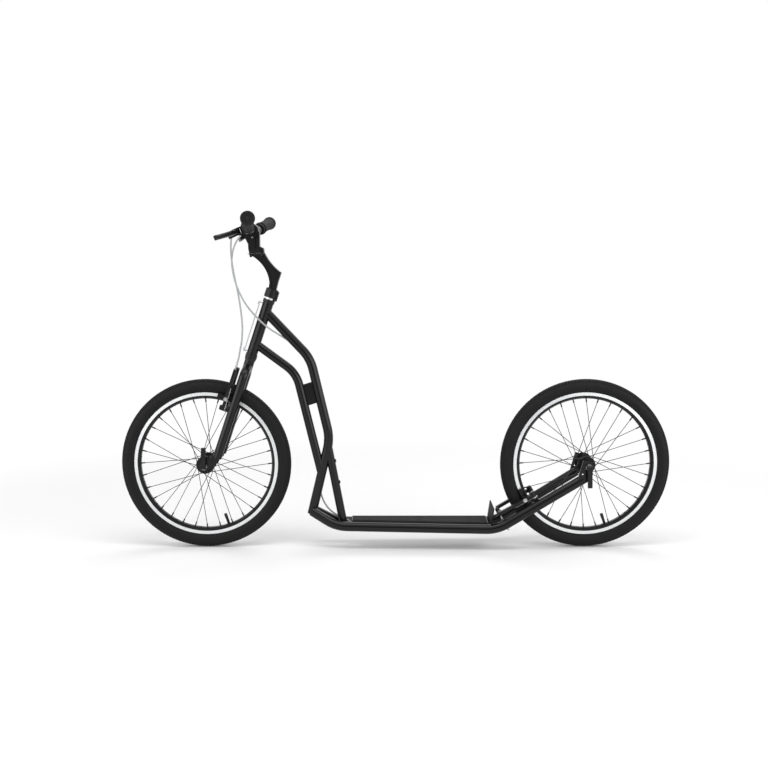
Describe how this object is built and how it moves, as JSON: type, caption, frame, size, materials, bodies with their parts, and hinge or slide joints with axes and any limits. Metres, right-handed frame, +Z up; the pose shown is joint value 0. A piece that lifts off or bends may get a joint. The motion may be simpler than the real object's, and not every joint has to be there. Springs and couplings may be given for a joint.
{
  "type": "kick bike",
  "caption": "Adult kick bike: low standing deck between two spoked wheels, steered by a tall stem with a flat bar, and braked at both rims",
  "frame": {"origin": "on the ground, midway between the axles, in the bike's centre plane", "axes": "+X points backwards along the deck, +Y to the rider's right, +Z up"},
  "size_m": [1.5928, 0.5912, 0.964],
  "materials": {
    "frame_paint": "gloss",
    "black_alloy": "satin",
    "rim_alloy": "satin",
    "deck_alloy": "satin",
    "grip_sheet": "coarse matte",
    "steel": "satin",
    "dark_steel": "satin",
    "silver_alloy": "polished",
    "black_rubber": "matte",
    "tyre": "matte",
    "cable_housing": "satin",
    "pale_plastic": "satin",
    "black_plastic": "matte"
  },
  "bodies": {
    "frame": {"head_tube": "frame_paint", "headset_cups": "black_alloy", "main_tube": "frame_paint", "lower_tube": "frame_paint", "deck_strut": "frame_paint", "gusset_plate": "frame_paint", "deck_rails": "frame_paint", "rail_bridges": "frame_paint", "deck_plate": "deck_alloy", "deck_grip": "grip_sheet", "deck_screws": "steel", "heel_plate": "frame_paint", "rear_dropouts": "frame_paint", "rear_brake_pivots": "frame_paint", "cable_clips": "black_plastic", "rear_cable": "cable_housing", "rear_brake_wire": "black_rubber", "front_plate": "pale_plastic", "rear_axle": "steel"},
    "steering": {"fork_steerer": "frame_paint", "fork_blades": "frame_paint", "fork_dropouts": "frame_paint", "front_brake_pivots": "frame_paint", "headset_race": "steel", "headset_spacer": "silver_alloy", "stem_neck": "black_alloy", "stem_bolts": "steel", "stem_head": "black_alloy", "handlebar": "black_alloy", "grips": "black_rubber", "lever_brackets": "black_alloy", "front_cable": "cable_housing", "front_brake_wire": "black_rubber", "front_axle": "steel"},
    "lever_left": {"brake_lever_left": "black_alloy"},
    "lever_right": {"brake_lever_right": "black_alloy"},
    "front_brake_left": {"front_arm_left": "black_alloy", "front_pad_left": "black_rubber", "front_noodle": "steel"},
    "front_brake_right": {"front_arm_right": "black_alloy", "front_pad_right": "black_rubber"},
    "rear_brake_left": {"rear_arm_left": "black_alloy", "rear_pad_left": "black_rubber", "rear_noodle": "steel"},
    "rear_brake_right": {"rear_arm_right": "black_alloy", "rear_pad_right": "black_rubber"},
    "front_wheel": {"front_tyre": "tyre", "front_inner_tube": "black_rubber", "front_rim": "rim_alloy", "front_spokes": "dark_steel", "front_hub": "black_alloy", "front_hub_bearings": "steel"},
    "rear_wheel": {"rear_tyre": "tyre", "rear_inner_tube": "black_rubber", "rear_rim": "rim_alloy", "rear_spokes": "dark_steel", "rear_hub": "black_alloy", "rear_hub_bearings": "steel"},
    "front_quick_release": {"front_quick_lever": "black_alloy"},
    "rear_quick_release": {"rear_quick_lever": "black_alloy"}
  },
  "joints": [
    {"name": "steering_turn", "type": "hinge", "parent": "frame", "child": "steering", "pos_m": [-0.52334, 0, 0.23753], "axis": [0.3156, 0, 0.9489], "range_deg": [-60, 60], "deforming": ["rear_cable"]},
    {"name": "front_wheel_spin", "type": "hinge", "parent": "steering", "child": "front_wheel", "pos_m": [-0.55, 0, 0.2464], "axis": [0, 1, 0], "continuous": true},
    {"name": "rear_wheel_spin", "type": "hinge", "parent": "frame", "child": "rear_wheel", "pos_m": [0.55, 0, 0.2464], "axis": [0, 1, 0], "continuous": true},
    {"name": "left_lever_squeeze", "type": "hinge", "parent": "steering", "child": "lever_left", "pos_m": [-0.43487, -0.148, 0.91126], "axis": [-0.3827, 0, 0.9239], "range_deg": [0, 22], "stiffness_Nm_per_rad": 2, "springref_deg": -5.73},
    {"name": "right_lever_squeeze", "type": "hinge", "parent": "steering", "child": "lever_right", "pos_m": [-0.43487, 0.148, 0.91126], "axis": [0.3827, 0, -0.9239], "range_deg": [0, 22], "stiffness_Nm_per_rad": 2, "springref_deg": -5.73},
    {"name": "front_left_arm_swing", "type": "hinge", "parent": "steering", "child": "front_brake_left", "pos_m": [-0.49445, -0.04, 0.4134], "axis": [-0.9489, 0, 0.3156], "range_deg": [0, 2.7]},
    {"name": "front_right_arm_swing", "type": "hinge", "parent": "steering", "child": "front_brake_right", "pos_m": [-0.49445, 0.04, 0.4134], "axis": [0.9489, 0, -0.3156], "range_deg": [0, 2.7]},
    {"name": "rear_left_arm_swing", "type": "hinge", "parent": "frame", "child": "rear_brake_left", "pos_m": [0.39682, -0.04, 0.15973], "axis": [0.4924, 0, -0.8704], "range_deg": [0, 2.7]},
    {"name": "rear_right_arm_swing", "type": "hinge", "parent": "frame", "child": "rear_brake_right", "pos_m": [0.39682, 0.04, 0.15973], "axis": [-0.4924, 0, 0.8704], "range_deg": [0, 2.7]},
    {"name": "front_quick_release_swing", "type": "hinge", "parent": "steering", "child": "front_quick_release", "pos_m": [-0.55, -0.0678, 0.2464], "axis": [0.9994, 0, -0.0349], "range_deg": [0, 180]},
    {"name": "rear_quick_release_swing", "type": "hinge", "parent": "frame", "child": "rear_quick_release", "pos_m": [0.55, -0.0853, 0.2464], "axis": [-0.9994, 0, -0.0349], "range_deg": [0, 180]}
  ],
  "couplings": [
    {"joint": "front_left_arm_swing", "follows": "left_lever_squeeze", "ratio": 0.12273},
    {"joint": "front_right_arm_swing", "follows": "left_lever_squeeze", "ratio": 0.12273},
    {"joint": "rear_left_arm_swing", "follows": "right_lever_squeeze", "ratio": 0.12273},
    {"joint": "rear_right_arm_swing", "follows": "right_lever_squeeze", "ratio": 0.12273}
  ]
}
